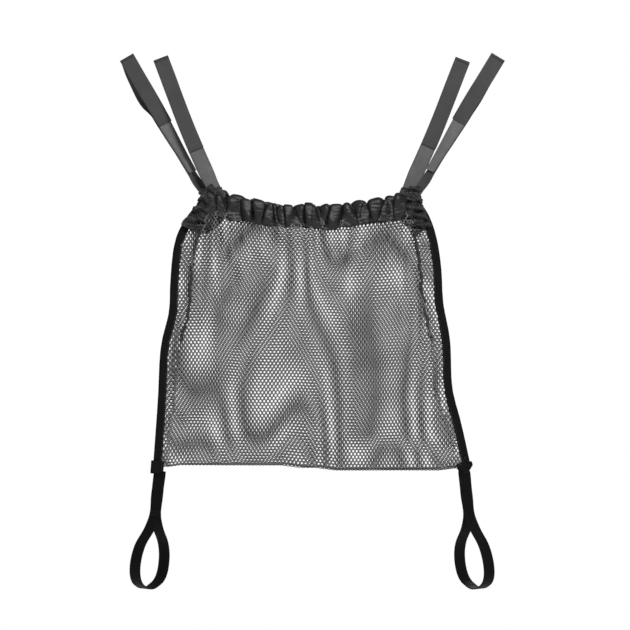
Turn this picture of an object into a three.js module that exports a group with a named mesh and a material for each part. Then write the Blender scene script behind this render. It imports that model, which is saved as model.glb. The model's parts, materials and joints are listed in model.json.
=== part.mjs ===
// Hay net: a mesh bag with a gathered elastic mouth, four hanging straps that close with
// hook-and-loop tape, and two webbing loops at the bottom corners.
// Millimetres, +Z up, the front faces -Y. The origin is the middle of the line that the
// tops of the four straps hang from.
import * as THREE from "three";

// Webbing and tape.
const WEBBING_WIDTH = 25;
const WEBBING_THICKNESS = 1.6;
const TAPE_WIDTH = 23;
const TAPE_THICKNESS = 1.2;
const SEWN_GAP = 0.3;

// The bag. Each edge runs down the middle of the side binding, as [x, z].
const LEFT_EDGE = [
  [-165, -226], [-192, -256], [-212, -292], [-221, -360],
  [-223, -410], [-236, -465], [-241, -550], [-249, -662],
];
const RIGHT_EDGE = [
  [160, -226], [181, -256], [193, -290], [201, -340], [204, -395],
  [215, -455], [219, -535], [233, -590], [249, -662],
];
const NET_THICKNESS = 1.0;
const NET_TOP_SHARE = 0.07; // where the net starts, as a share of an edge's length
const MOUTH_DIP = 18; // how far the middle of the mouth hangs below its ends
const HEM_WAVE = 6;
const SEAM_INSET_TOP = 28; // the front seam stands this far inside the side edge
const SEAM_INSET_BOTTOM = 12;
const GUSSET_DEPTH = 11;
const GUSSET_FLAT_SHARE = 0.4; // the share of the gusset's columns that lie in the binding
const SEAM_GAP = 0.8;
const FOLD_DEPTH = 1.2; // half the thickness of the bag at its bottom fold
const MOUTH_DEPTH = 14;
const BELLY_DEPTH = 18;
const BACK_MOUTH_DEPTH = 20;
const EDGE_DEPTH = 0.9; // half the distance between the two nets inside a side binding
const EDGE_FLAT = 9; // both nets lie flat this far in from the edge, past the binding
const EDGE_FLAT_SHARE = 0.024; // the same at the mouth, as a share of the bag's width
const NET_ROWS = 16;
const NET_COLUMNS = 16;
const GUSSET_COLUMNS = 5;

// The gathered casing round the mouth, and the elastic inside it.
const CASING_HEIGHT = 32;
const CASING_HALF_GAP = 2.6;
const CASING_THICKNESS = 1.0;
const CASING_HOLDS_NET = 6;
const CASING_HALF_LENGTH = 151;
const ELASTIC_HEIGHT = 20;
const ELASTIC_THICKNESS = 1.4;
const ELASTIC_BELOW_FOLD = 4;
const MOUTH_STEPS = 16;

// The side bindings, and the patch folded over the lower end of each.
const BINDING_WIDTH = 12.5;
const BINDING_HALF_GAP = 2.4;
const BINDING_THICKNESS = 1.4;
const CORNER_WIDTH = 20;
const CORNER_HALF_GAP = 4.4;
const CORNER_THICKNESS = 1.2;
const CORNER_SHARE = 0.026; // the patch's height, as a share of an edge's length
const BINDING_END_SHARE = 0.996; // the binding stops short of the hem
const BINDING_STEPS = 22;
const CORNER_STEPS = 2;
const STRIP_FOLD_FACETS = 6;

// The hanging straps.
const FOLD_RADIUS = 4;
const FOLD_FACETS = 7; // an odd number, so that one facet is flat across the top
const LENS_DEPTH = 9; // how far the back run bows away from the front run
const FLAP_BOW = 1.5;
const RUN_OFFSET = 2.6; // from the face where hook meets loop to the middle of the run
const LOOP_TAPE_OFFSET = 0.9;
const HOOK_TAPE_OFFSET = 0.6;
const FLAP_OFFSET = 2.3;
const FLAP_START = FOLD_RADIUS + 0.6;
const ANCHOR_LENGTH = 18;
const STRAP_PITCH = 6;
const TWIST_START = 30; // distances below the top fold
const TWIST_END = 214;

// Each strap: its middle line from the top fold to the root as [x, z], its depth y, how far
// it turns about its own length, and where its pieces start and end below the top fold.
const STRAPS = [
  {
    name: "outer_left", line: [[-299, 0], [-227, -125], [-173, -218]], y: 8,
    twist: 60, rootTwist: 30, join: 105, flap: 124, hook: [110, 213], loop: [108, 210],
  },
  {
    name: "inner_left", line: [[-243, -3], [-197, -124], [-157, -214]], y: -10.4,
    twist: 10, rootTwist: 0, join: 88, flap: 158, hook: [92, 155], loop: [92, 226],
  },
  {
    name: "inner_right", line: [[243, -4], [196, -124], [156, -214]], y: 5.5,
    twist: 8, rootTwist: 0, join: 88, flap: 150, hook: [92, 147], loop: [92, 226],
  },
  {
    name: "outer_right", line: [[299, -1], [224, -125], [170, -216]], y: -10,
    twist: -60, rootTwist: -24, join: 105, flap: 122, hook: [110, 213], loop: [108, 210],
  },
];

// The bottom loops: half of a drop, as [half width, depth below the root].
const LOOP_HALF_GAP = 1.2;
const LOOP_DROP = [
  [LOOP_HALF_GAP, 0], [LOOP_HALF_GAP, 36], [LOOP_HALF_GAP, 70], [8, 90],
  [24, 116], [31.5, 147], [24, 177], [0, 191],
];
const LOOP_ROOT_Z = -667;
const LOOP_ROOT_X = 245;
const LOOP_TURN = 46; // degrees about the vertical
const LOOP_LEAN = 0.11; // sideways travel for each millimetre down
const LOOP_HALF_STEPS = 26;

const group = new THREE.Group();

function addPiece(name, geometry, color, roughness) {
  const material = new THREE.MeshStandardMaterial({ color, roughness, metalness: 0 });
  const mesh = new THREE.Mesh(geometry, material);
  mesh.name = name;
  group.add(mesh);
}

const addNet = (name, geometry) => addPiece(name, geometry, 0x26282a, 0.7);
const addNylon = (name, geometry) => addPiece(name, geometry, 0x303133, 0.55);
const addWebbing = (name, geometry) => addPiece(name, geometry, 0x2a2b2d, 0.75);
const addTape = (name, geometry) => addPiece(name, geometry, 0x444547, 0.9);
const addElastic = (name, geometry) => addPiece(name, geometry, 0x17181a, 0.8);

// Six times the volume inside, which is negative if the faces point in.
function signedVolume(points, index) {
  let volume = 0;
  for (let i = 0; i < index.length; i += 3) {
    const [a, b, c] = [points[index[i]], points[index[i + 1]], points[index[i + 2]]];
    volume += a.dot(b.clone().cross(c));
  }
  return volume;
}

// A closed sheet between two grids of points that have the same number of rows and columns.
function closedSheet(upper, lower) {
  const rows = upper.length;
  const columns = upper[0].length;
  const points = [...upper.flat(), ...lower.flat()];
  const under = rows * columns;
  const index = [];
  const quad = (a, b, c, d) => index.push(a, b, c, a, c, d);
  for (let i = 0; i < rows - 1; i += 1) {
    for (let j = 0; j < columns - 1; j += 1) {
      const a = i * columns + j;
      quad(a, a + 1, a + columns + 1, a + columns);
      quad(under + a, under + a + columns, under + a + columns + 1, under + a + 1);
    }
  }
  const rim = [];
  for (let j = 0; j < columns - 1; j += 1) rim.push(j);
  for (let i = 0; i < rows - 1; i += 1) rim.push(i * columns + columns - 1);
  for (let j = columns - 1; j > 0; j -= 1) rim.push((rows - 1) * columns + j);
  for (let i = rows - 1; i > 0; i -= 1) rim.push(i * columns);
  rim.forEach((here, k) => {
    const next = rim[(k + 1) % rim.length];
    quad(next, here, under + here, under + next);
  });
  if (signedVolume(points, index) < 0) index.reverse();
  const geometry = new THREE.BufferGeometry();
  geometry.setFromPoints(points);
  geometry.setIndex(index);
  geometry.computeVertexNormals();
  return geometry;
}

const stepsBetween = (from, to, count) =>
  Array.from({ length: count + 1 }, (_, k) => THREE.MathUtils.lerp(from, to, k / count));

// A panel of even thickness about the surface pointAt(u, v), with columns at the given shares u.
function panel(pointAt, thickness, columns, rows) {
  const step = 1e-3;
  const face = (side) => (u, v) => {
    const du = pointAt(u + step, v).sub(pointAt(u - step, v));
    const dv = pointAt(u, v + step).sub(pointAt(u, v - step));
    const normal = du.cross(dv).normalize();
    return pointAt(u, v).addScaledVector(normal, (side * thickness) / 2);
  };
  const grid = (pointOn) => stepsBetween(0, 1, rows).map((v) =>
    columns.map((u) => pointOn(u, v)));
  return closedSheet(grid(face(1)), grid(face(-1)));
}

// ---- The bag ----

const edgeCurve = (points) =>
  new THREE.CatmullRomCurve3(points.map(([x, z]) => new THREE.Vector3(x, 0, z)));
const leftEdge = edgeCurve(LEFT_EDGE);
const rightEdge = edgeCurve(RIGHT_EDGE);
const within = (value) => THREE.MathUtils.clamp(value, 0, 1);

// A point between the two edges, at share u across and t down, before it gets its depth.
function across(u, t, inset) {
  const along = within(NET_TOP_SHARE + (1 - NET_TOP_SHARE) * t);
  const left = leftEdge.getPointAt(along);
  const right = rightEdge.getPointAt(along);
  left.x += inset;
  right.x -= inset;
  const point = left.lerp(right, u);
  const dip = MOUTH_DIP * Math.sin(Math.PI * u) * (1 - t) ** 2;
  const wave = HEM_WAVE * Math.sin(2 * Math.PI * (u - 0.5)) * within(t) ** 4;
  point.z -= dip + wave;
  return point;
}

const belly = (t) => BELLY_DEPTH * Math.sin(Math.PI * within(t));
const seamInset = (t) =>
  SEAM_INSET_BOTTOM + (SEAM_INSET_TOP - SEAM_INSET_BOTTOM) * (1 - t * t);
const seamDepth = (t) => FOLD_DEPTH + GUSSET_DEPTH * (1 - t * t);

function netFront(u, t) {
  const point = across(u, t, seamInset(t));
  const depth = MOUTH_DEPTH * (1 - t * t) + belly(t);
  point.y = -seamDepth(t) - depth * (1 - (2 * u - 1) ** 2);
  return point;
}

function netBack(u, t) {
  const point = across(u, t, 0);
  const depth = BACK_MOUTH_DEPTH * (1 - t * t) + belly(t);
  const squareness = THREE.MathUtils.lerp(8, 2.5, within(t));
  const share = within((u - EDGE_FLAT_SHARE) / (1 - 2 * EDGE_FLAT_SHARE));
  point.y = EDGE_DEPTH + depth * (1 - Math.abs(2 * share - 1) ** squareness);
  return point;
}

// The narrow strip of net from the side binding to the front seam, which it meets with a gap.
function gusset(side) {
  return (u, t) => {
    const inset = seamInset(t);
    const flat = EDGE_FLAT * Math.min(1, u / GUSSET_FLAT_SHARE);
    const slope = Math.max(0, (u - GUSSET_FLAT_SHARE) / (1 - GUSSET_FLAT_SHARE));
    const point = across(side < 0 ? 0 : 1, t, 0);
    point.x -= side * (flat + slope * (inset - EDGE_FLAT - SEAM_GAP));
    point.y = THREE.MathUtils.lerp(-EDGE_DEPTH, netFront(side < 0 ? 0 : 1, t).y, slope);
    return point;
  };
}

function addNets() {
  const rows = NET_ROWS;
  const inner = stepsBetween(EDGE_FLAT_SHARE, 1 - EDGE_FLAT_SHARE, NET_COLUMNS);
  const strip = stepsBetween(0, 1, GUSSET_COLUMNS);
  addNet("net_back", panel(netBack, NET_THICKNESS, [0, ...inner, 1], rows));
  addNet("net_front", panel(netFront, NET_THICKNESS, stepsBetween(0, 1, NET_COLUMNS), rows));
  addNet("gusset_left", panel(gusset(-1), NET_THICKNESS, strip, rows));
  addNet("gusset_right", panel(gusset(1), NET_THICKNESS, strip, rows));
}

// ---- Folded strips: the casing, the bindings and the corner patches ----

// A strip folded in half: [away from the fold's middle, across] for one of its two faces.
function foldSection(width, halfGap, offset) {
  const radius = halfGap + offset;
  const section = [[width / 2, -radius]];
  for (let k = 0; k <= STRIP_FOLD_FACETS; k += 1) {
    const angle = -Math.PI / 2 - (Math.PI * k) / STRIP_FOLD_FACETS;
    section.push([-width / 2 + halfGap + radius * Math.cos(angle), radius * Math.sin(angle)]);
  }
  section.push([width / 2, radius]);
  return section;
}

// The folded strip swept along stations; each gives its middle and the two section directions.
function foldedStrip(width, halfGap, thickness, stations) {
  const face = (offset) => {
    const section = foldSection(width, halfGap, offset);
    return stations.map(({ middle, inward, sideways }) =>
      section.map(([a, b]) =>
        middle.clone().addScaledVector(inward, a).addScaledVector(sideways, b)));
  };
  return closedSheet(face(thickness / 2), face(-thickness / 2));
}

// Stations along a side edge, with the fold towards the outside of the bag.
function edgeStations(curve, side, from, to, count) {
  return Array.from({ length: count + 1 }, (_, k) => {
    const along = THREE.MathUtils.lerp(from, to, k / count);
    const tangent = curve.getTangentAt(along);
    const inward = new THREE.Vector3(side * tangent.z, 0, -side * tangent.x);
    return { middle: curve.getPointAt(along), inward, sideways: new THREE.Vector3(0, 1, 0) };
  });
}

function addBindings() {
  for (const [name, curve, side] of [["left", leftEdge, -1], ["right", rightEdge, 1]]) {
    addWebbing(`binding_${name}`, foldedStrip(
      BINDING_WIDTH, BINDING_HALF_GAP, BINDING_THICKNESS,
      edgeStations(curve, side, 0, BINDING_END_SHARE, BINDING_STEPS),
    ));
    addWebbing(`corner_tab_${name}`, foldedStrip(
      CORNER_WIDTH, CORNER_HALF_GAP, CORNER_THICKNESS,
      edgeStations(curve, side, 1 - CORNER_SHARE, 1, CORNER_STEPS),
    ));
  }
}

// The mouth line of a net, as shares of its width where the casing starts and ends.
function casingShares(net) {
  const left = net(0, 0).x;
  const right = net(1, 0).x;
  const share = (x) => within((x - left) / (right - left));
  return [share(-CASING_HALF_LENGTH), share(CASING_HALF_LENGTH)];
}

function mouthStations(net, rise, count) {
  const [from, to] = casingShares(net);
  const step = 1e-3;
  return Array.from({ length: count + 1 }, (_, k) => {
    const u = THREE.MathUtils.lerp(from, to, k / count);
    const along = net(u + step, 0).sub(net(u - step, 0)).setZ(0).normalize();
    const middle = net(u, 0);
    middle.z += rise;
    const inward = new THREE.Vector3(0, 0, -1);
    return { middle, inward, sideways: new THREE.Vector3(-along.y, along.x, 0) };
  });
}

function addMouth(name, net) {
  const casingRise = CASING_HEIGHT / 2 - CASING_HOLDS_NET;
  addNylon(`casing_${name}`, foldedStrip(
    CASING_HEIGHT, CASING_HALF_GAP, CASING_THICKNESS, mouthStations(net, casingRise, MOUTH_STEPS),
  ));
  const casingTop = CASING_HEIGHT - CASING_HOLDS_NET;
  const elasticRise = casingTop - ELASTIC_BELOW_FOLD - ELASTIC_HEIGHT / 2;
  const stations = mouthStations(net, elasticRise, MOUTH_STEPS);
  const face = (offset) => stations.map(({ middle, inward, sideways }) =>
    [-1, 1].map((end) => middle.clone()
      .addScaledVector(inward, (end * ELASTIC_HEIGHT) / 2)
      .addScaledVector(sideways, offset)));
  const half = ELASTIC_THICKNESS / 2;
  addElastic(`elastic_${name}`, closedSheet(face(half), face(-half)));
}

// ---- Hanging straps ----

// A ribbon along a path of [offset, distance] pairs, which place(distance, offset, side) puts
// into the frame of the piece.
function ribbon(path, width, thickness, place) {
  const normals = path.map((_, k) => {
    const before = path[Math.max(k - 1, 0)];
    const after = path[Math.min(k + 1, path.length - 1)];
    const run = Math.hypot(after[0] - before[0], after[1] - before[1]);
    return [(after[1] - before[1]) / run, (before[0] - after[0]) / run];
  });
  const face = (offset) => path.map(([a, q], k) =>
    [-1, 1].map((end) => place(
      q + normals[k][1] * offset, a + normals[k][0] * offset, (end * width) / 2,
    )));
  return closedSheet(face(thickness / 2), face(-thickness / 2));
}

// Distances from one to the other that share every multiple of the pitch, so that the layers
// of a twisted strap are faceted alike and lie flat on each other.
function stations(from, to) {
  const first = Math.floor(from / STRAP_PITCH) + 1;
  const last = Math.ceil(to / STRAP_PITCH) - 1;
  const inside = Array.from({ length: last - first + 1 }, (_, k) => (first + k) * STRAP_PITCH);
  return [from, ...inside, to];
}

// The strap's own frame: distance down from the top, offset to the front, and across.
function strapFrame({ line, y, twist, rootTwist }) {
  const curve = edgeCurve(line);
  const length = curve.getLength();
  const place = (q, offset, side) => {
    const share = within(q / length);
    const down = curve.getTangentAt(share);
    const right = new THREE.Vector3(-down.z, 0, down.x);
    const front = new THREE.Vector3(0, -1, 0);
    const turned = twist * THREE.MathUtils.smoothstep(q, TWIST_START, TWIST_END);
    const eased = (rootTwist - twist) * THREE.MathUtils.smoothstep(q, TWIST_END, length);
    const angle = THREE.MathUtils.degToRad(turned + eased);
    const normal = front.clone().multiplyScalar(Math.cos(angle))
      .addScaledVector(right, Math.sin(angle));
    const wide = right.clone().multiplyScalar(Math.cos(angle))
      .addScaledVector(front, -Math.sin(angle));
    const point = curve.getPointAt(share).addScaledVector(down, q - share * length);
    point.y = y;
    return point.addScaledVector(normal, offset).addScaledVector(wide, side);
  };
  return { place, length };
}

// Both runs leave the fold a radius apart, bow away from each other and meet at the join.
function lens(q, join, atJoin, bow) {
  const share = within((q - FOLD_RADIUS) / (join - FOLD_RADIUS));
  const bulge = bow * Math.sin(Math.PI * share) ** 2;
  return THREE.MathUtils.lerp(FOLD_RADIUS, atJoin, share) + bulge;
}

function runPath(strap, length) {
  const fold = stepsBetween(0, Math.PI, FOLD_FACETS).slice(0, -1).map((angle) => [
    FOLD_RADIUS * Math.cos(angle), FOLD_RADIUS - FOLD_RADIUS * Math.sin(angle),
  ]);
  const back = stations(FOLD_RADIUS, length)
    .map((q) => [-lens(q, strap.join, RUN_OFFSET, LENS_DEPTH), q]);
  return [...fold, ...back];
}

function addStrap(strap) {
  const { place, length } = strapFrame(strap);
  const flat = (from, to, offset) => stations(from, to).map((q) => [offset, q]);
  const flapPath = stations(FLAP_START, strap.flap)
    .map((q) => [lens(q, strap.join, FLAP_OFFSET, FLAP_BOW), q]);
  const webbing = (piece, path) => addWebbing(
    `${strap.name}_${piece}`, ribbon(path, WEBBING_WIDTH, WEBBING_THICKNESS, place),
  );
  const tape = (piece, path) => addTape(
    `${strap.name}_${piece}`, ribbon(path, TAPE_WIDTH, TAPE_THICKNESS, place),
  );
  webbing("run", runPath(strap, length));
  tape("loop_tape", flat(...strap.loop, -LOOP_TAPE_OFFSET));
  webbing("flap", flapPath);
  tape("hook_tape", flat(...strap.hook, HOOK_TAPE_OFFSET));
}

// The sewn end of an inner strap, which lies inside the end of the casing.
function addAnchor(strap) {
  const { place, length } = strapFrame(strap);
  const path = [length + SEWN_GAP, length + ANCHOR_LENGTH].map((q) => [-RUN_OFFSET, q]);
  const anchor = ribbon(path, WEBBING_WIDTH, WEBBING_THICKNESS, place);
  addWebbing(`anchor_${strap.name}`, anchor);
}

// ---- Bottom loops ----

function addBottomLoop(name, side) {
  const half = new THREE.CatmullRomCurve3(
    LOOP_DROP.map(([spread, depth]) => new THREE.Vector3(spread, depth, 0)),
    false, "centripetal",
  ).getSpacedPoints(LOOP_HALF_STEPS).map((point) => [point.x, point.y]);
  half.pop(); // leaves one flat facet across the bottom of the loop
  const otherHalf = [...half].reverse().map(([spread, depth]) => [-spread, depth]);
  const turn = THREE.MathUtils.degToRad(LOOP_TURN);
  const spreadAxis = new THREE.Vector3(side * Math.cos(turn), -Math.sin(turn), 0);
  const wideAxis = new THREE.Vector3(-side * Math.sin(turn), -Math.cos(turn), 0);
  const down = new THREE.Vector3(side * LOOP_LEAN, 0, -1);
  const place = (depth, spread, across_) =>
    new THREE.Vector3(side * LOOP_ROOT_X, 0, LOOP_ROOT_Z)
      .addScaledVector(down, depth)
      .addScaledVector(spreadAxis, spread)
      .addScaledVector(wideAxis, across_);
  const path = [...half, ...otherHalf];
  const geometry = ribbon(path, WEBBING_WIDTH, WEBBING_THICKNESS, place);
  addWebbing(`bottom_loop_${name}`, geometry);
}

addNets();
addBindings();
addMouth("front", netFront);
addMouth("back", netBack);
STRAPS.forEach(addStrap);
STRAPS.filter((strap) => strap.name.startsWith("inner")).forEach(addAnchor);
addBottomLoop("left", -1);
addBottomLoop("right", 1);

export default group;
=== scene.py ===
import json
import math
import random

import bpy
import numpy as np
from bpy.props import FloatProperty, FloatVectorProperty, IntProperty, PointerProperty
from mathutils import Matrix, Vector
from mathutils.bvhtree import BVHTree


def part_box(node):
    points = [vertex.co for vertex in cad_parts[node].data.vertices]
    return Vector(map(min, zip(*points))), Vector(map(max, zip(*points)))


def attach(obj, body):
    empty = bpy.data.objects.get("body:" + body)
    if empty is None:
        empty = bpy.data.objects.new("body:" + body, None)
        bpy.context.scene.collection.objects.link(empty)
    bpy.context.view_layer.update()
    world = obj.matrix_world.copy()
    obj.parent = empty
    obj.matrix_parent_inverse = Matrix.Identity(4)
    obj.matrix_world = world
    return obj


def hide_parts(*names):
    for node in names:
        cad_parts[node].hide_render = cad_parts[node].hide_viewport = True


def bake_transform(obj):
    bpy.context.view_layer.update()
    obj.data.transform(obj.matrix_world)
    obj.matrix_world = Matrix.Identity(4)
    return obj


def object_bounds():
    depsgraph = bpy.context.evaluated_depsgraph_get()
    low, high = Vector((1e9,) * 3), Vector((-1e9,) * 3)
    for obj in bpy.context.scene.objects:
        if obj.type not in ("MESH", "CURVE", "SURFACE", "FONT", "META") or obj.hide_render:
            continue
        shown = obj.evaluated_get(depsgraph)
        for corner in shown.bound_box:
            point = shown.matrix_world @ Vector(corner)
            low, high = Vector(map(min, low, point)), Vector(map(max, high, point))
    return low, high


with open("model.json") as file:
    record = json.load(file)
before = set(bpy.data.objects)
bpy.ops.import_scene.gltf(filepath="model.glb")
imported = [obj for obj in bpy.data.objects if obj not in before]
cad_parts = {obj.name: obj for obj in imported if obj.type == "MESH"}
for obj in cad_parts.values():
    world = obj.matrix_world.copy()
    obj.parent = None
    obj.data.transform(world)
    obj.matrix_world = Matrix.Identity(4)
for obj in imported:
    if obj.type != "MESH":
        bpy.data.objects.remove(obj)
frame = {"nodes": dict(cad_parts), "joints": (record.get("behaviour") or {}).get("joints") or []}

bl_info = {
    "name": "Hay Net",
    "version": (1, 0, 0),
    "blender": (4, 5, 0),
    "location": "View3D > Sidebar > Hay Net",
    "description": "Builds a mesh hay net, its mouth, straps and loops round a fixed frame",
    "category": "Add Mesh",
}

CAD_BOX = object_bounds()
STRAPS = ("outer_left", "inner_left", "inner_right", "outer_right")
SIDES = {"left": -1, "right": 1}
FRONT = Vector((0, -1, 0))
FINE_NET = (0.62, 0.62)  # the size of a cell where the net is bunched or rolled
STRIP_STEP = 0.0022  # the length of one row of a strap's mesh


# ---- What a user may change ----

def length(name, description, default):
    return FloatProperty(name=name, description=description, default=default, unit="LENGTH")


def grey(name, description, level):
    colour = (level, level, level * 1.03)
    return FloatVectorProperty(
        name=name, description=description, default=colour, subtype="COLOR", min=0, max=1,
    )


class HayNetSizes(bpy.types.PropertyGroup):
    cell_width: length("Cell width", "Distance across the net from hole to hole", 0.0056)
    cell_rise: length("Cell rise", "Distance from one row of holes to the next", 0.0049)
    pillar_width: length("Pillar width", "Thread between two holes side by side", 0.0026)
    bar_width: length("Bar width", "Height of the slanting thread above and below a hole", 0.0018)
    thread_depth: length("Thread depth", "Thickness of the net's thread", 0.0008)
    webbing_width: length("Webbing width", "Width of the straps and loops", 0.025)
    webbing_thickness: length("Webbing thickness", "Thickness of the straps and loops", 0.0016)
    tape_width: length("Tape width", "Width of the hook and loop tapes", 0.023)
    tape_thickness: length("Tape thickness", "Thickness of the hook and loop tapes", 0.0012)
    binding_width: length("Binding width", "Width of the folded side bindings", 0.0125)
    binding_thickness: length("Binding thickness", "Thickness of the side bindings", 0.0014)
    nylon_thickness: length("Nylon thickness", "Thickness of the casing's cloth", 0.0006)
    pleat_depth: length("Pleat depth", "How far the casing puffs out between pleats", 0.0078)
    stitch_length: length("Stitch length", "Length of one stitch", 0.0032)
    thread_radius: length("Thread radius", "Half the thickness of the sewing thread", 0.00028)
    seed: IntProperty(name="Seed", description="Changes the folds and pleats", default=11, min=0)


class HayNetColours(bpy.types.PropertyGroup):
    net: grey("Net", "Knitted net", 0.082)
    # Bunched net: the same thread as the net, darker to paint the shade in the gathered corners
    # and rolled seams.
    shade_darkened_net: grey("Bunched net", "Net in the gathered corners", 0.014)
    nylon: grey("Nylon", "Gathered casing", 0.006)
    webbing: grey("Webbing", "Straps", 0.031)
    binding: grey("Binding", "Side bindings, corner patches and bottom loops", 0.0025)
    tape: grey("Tape", "Hook and loop tape", 0.095)
    elastic: grey("Elastic", "Elastic in the casing", 0.015)
    thread: grey("Sewing thread", "Stitches", 0.010)
    floor: grey("Floor", "Pale floor", 0.86)


# ---- Shader maths ----

class Value:
    """A number that changes over a surface. Python's operators add Math nodes."""

    def __init__(self, recipe, socket):
        self.recipe = recipe
        self.socket = socket

    def joined(self, operation, first, second):
        settings = {"operation": operation}
        return self.recipe.node("ShaderNodeMath", settings, {0: first, 1: second})

    def __add__(self, other):
        return self.joined("ADD", self, other)

    def __radd__(self, other):
        return self.joined("ADD", other, self)

    def __sub__(self, other):
        return self.joined("SUBTRACT", self, other)

    def __rsub__(self, other):
        return self.joined("SUBTRACT", other, self)

    def __mul__(self, other):
        return self.joined("MULTIPLY", self, other)

    def __rmul__(self, other):
        return self.joined("MULTIPLY", other, self)

    def __truediv__(self, other):
        return self.joined("DIVIDE", self, other)

    def __rtruediv__(self, other):
        return self.joined("DIVIDE", other, self)


class Recipe:
    """A material, or the world, while it is being made."""

    def __init__(self, name, kind="materials", shader="Principled BSDF", **constants):
        self.owner = getattr(bpy.data, kind).new(name)
        self.owner.use_nodes = True
        self.tree = self.owner.node_tree
        self.shader = self.tree.nodes[shader]
        for socket, constant in constants.items():
            self.shader.inputs[socket.replace("_", " ")].default_value = constant

    def node(self, kind, settings=None, sockets=None, output=0):
        made = self.tree.nodes.new(kind)
        for key, setting in (settings or {}).items():
            setattr(made, key, setting)
        for key, source in (sockets or {}).items():
            self.feed(made.inputs[key], source)
        return Value(self, made.outputs[output])

    def feed(self, socket, source):
        if isinstance(source, Value):
            self.tree.links.new(source.socket, socket)
        else:
            socket.default_value = source

    def finish(self, **sources):
        for socket, source in sources.items():
            self.feed(self.shader.inputs[socket.replace("_", " ")], source)
        return self.owner

    def function(self, operation, value):
        return self.node("ShaderNodeMath", {"operation": operation}, {0: value})

    def place(self):
        return self.node("ShaderNodeTexCoord", output=3)

    def strip_place(self):
        """Distance across and along a strip, in metres."""
        uv = self.node("ShaderNodeUVMap", {"uv_map": "Strip"})
        across = self.node("ShaderNodeSeparateXYZ", sockets={0: uv})
        return across, Value(self, across.socket.node.outputs[1])

    def noise(self, scale, detail=2.0, where=None):
        sockets = {"Vector": where or self.place(), "Scale": scale, "Detail": detail}
        return self.node("ShaderNodeTexNoise", sockets=sockets)

    def shade(self, colour, level, darkest=0.35, lightest=1.65):
        """The colour made lighter or darker by a value."""
        dark, light = (
            tuple(min(1.0, c * share) for c in colour) + (1,) for share in (darkest, lightest)
        )
        sockets = {0: level, 6: dark, 7: light}
        return self.node("ShaderNodeMix", {"data_type": "RGBA"}, sockets, output=2)

    def bump(self, height, distance, strength=1.0):
        sockets = {"Height": height, "Distance": distance, "Strength": strength}
        return self.node("ShaderNodeBump", sockets=sockets)


def woven(name, colour, warp, weft, depth, roughness, sheen, shine=0.25):
    """Flat woven webbing: cords along the strip, crossed by a finer weft."""
    recipe = Recipe(name, Sheen_Weight=sheen, Sheen_Roughness=0.4, Specular_IOR_Level=shine)
    across, along = recipe.strip_place()
    cord = across / warp
    column = recipe.function("FLOOR", cord)
    ridge = recipe.function("ABSOLUTE", recipe.function("SINE", cord * math.pi))
    over = recipe.function("SINE", (along / weft + column) * math.pi)
    weave = ridge * 0.55 + over * 0.25 + 0.2
    wear = recipe.noise(38.0)
    fibre = recipe.noise(2600.0, 1.0)
    level = weave * 0.45 + wear * 0.45 + fibre * 0.12
    return recipe.finish(
        Base_Color=recipe.shade(colour, level),
        Roughness=roughness + wear * 0.18,
        Normal=recipe.bump(weave + fibre * 0.3, depth),
    )


def pile(name, colour, tuft, depth):
    """Hook or loop tape: a close pile of short fibres on a woven ground."""
    recipe = Recipe(name, Sheen_Weight=0.15, Sheen_Roughness=0.5, Specular_IOR_Level=0.2)
    tufts = recipe.node(
        "ShaderNodeTexVoronoi", sockets={"Vector": recipe.place(), "Scale": 1 / tuft},
    )
    fibre = recipe.noise(1900.0, 3.0)
    wear = recipe.noise(60.0)
    level = fibre * 0.5 + wear * 0.4 + 0.12 - tufts * 0.15
    return recipe.finish(
        Base_Color=recipe.shade(colour, level),
        Roughness=0.78 + fibre * 0.2,
        Normal=recipe.bump(fibre * 0.6 - tufts * 0.5, depth),
    )


def nylon(colour):
    """Plain-weave nylon with soft creases, whose hollows are painted darker as shade."""
    recipe = Recipe("casing nylon", Specular_IOR_Level=0.32)
    place = recipe.place()
    threads = [
        recipe.node(
            "ShaderNodeTexWave", {"bands_direction": direction},
            {"Vector": place, "Scale": 420.0, "Distortion": 0.6, "Detail": 1.0},
            output=1,
        )
        for direction in ("X", "Z")
    ]
    # One noise makes the creases in the bump and roughness, and darkens the colour in their
    # hollows: painted shade.
    crease_and_shade = recipe.noise(75.0, 4.0)
    weave = threads[0] * 0.5 + threads[1] * 0.5
    return recipe.finish(
        Base_Color=recipe.shade(colour, weave * 0.2 + crease_and_shade * 0.7),
        Roughness=0.34 + crease_and_shade * 0.16,
        Normal=recipe.bump(weave * 0.12 + crease_and_shade, 0.0007),
    )


def knitted(colour):
    """Polyester net: twisted filaments that catch a little light."""
    recipe = Recipe("net thread", Specular_IOR_Level=0.35)
    filament = recipe.noise(3200.0, 2.0)
    patch = recipe.noise(26.0)
    return recipe.finish(
        Base_Color=recipe.shade(colour, filament * 0.5 + patch * 0.5),
        Roughness=0.42 + filament * 0.25,
        Normal=recipe.bump(filament, 0.0002),
    )


def spun(colour):
    """Sewing thread: twisted, slightly glossy."""
    recipe = Recipe("sewing thread", Sheen_Weight=0.1)
    twist = recipe.noise(4200.0, 1.0)
    return recipe.finish(
        Base_Color=recipe.shade(colour, twist),
        Roughness=0.45 + twist * 0.2,
        Normal=recipe.bump(twist, 0.0001),
    )


def floor_paint(colour):
    """Pale matt paint that gives off a little light, so the floor stays pale from above."""
    recipe = Recipe("floor paint", Emission_Color=(1, 1, 1, 1), Emission_Strength=0.3)
    grain = recipe.noise(9.0, 3.0)
    return recipe.finish(
        Base_Color=recipe.shade(colour, grain, 1.0, 1.06), Roughness=0.7 + grain * 0.1,
    )


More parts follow.
